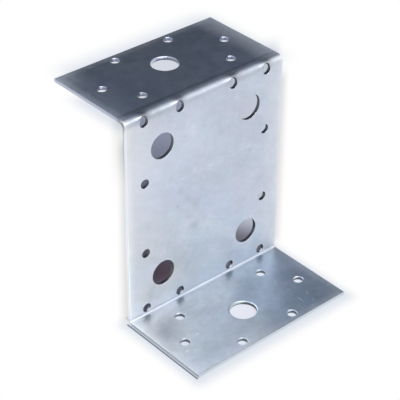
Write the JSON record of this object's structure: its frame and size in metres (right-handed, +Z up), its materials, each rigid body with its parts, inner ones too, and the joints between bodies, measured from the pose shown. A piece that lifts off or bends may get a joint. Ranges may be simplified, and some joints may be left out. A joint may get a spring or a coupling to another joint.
{
  "type": "z bracket",
  "caption": "One piece of sheet steel folded into a Z: an upright web and two flanges that run out opposite ways, all punched for bolts and screws.",
  "frame": {"origin": "under the middle of the web, on the plane of the foot flange's underside, midway along the folds", "axes": "+X along the folds, +Z up the web, foot flange out to -Y and head flange out to +Y"},
  "size_m": [0.1, 0.107, 0.119],
  "materials": {
    "zinc_coated_steel": "zinc coated sheet, satin with a faint cloudy spangle"
  },
  "bodies": {
    "root": {"z_bracket": "zinc_coated_steel"}
  },
  "joints": []
}
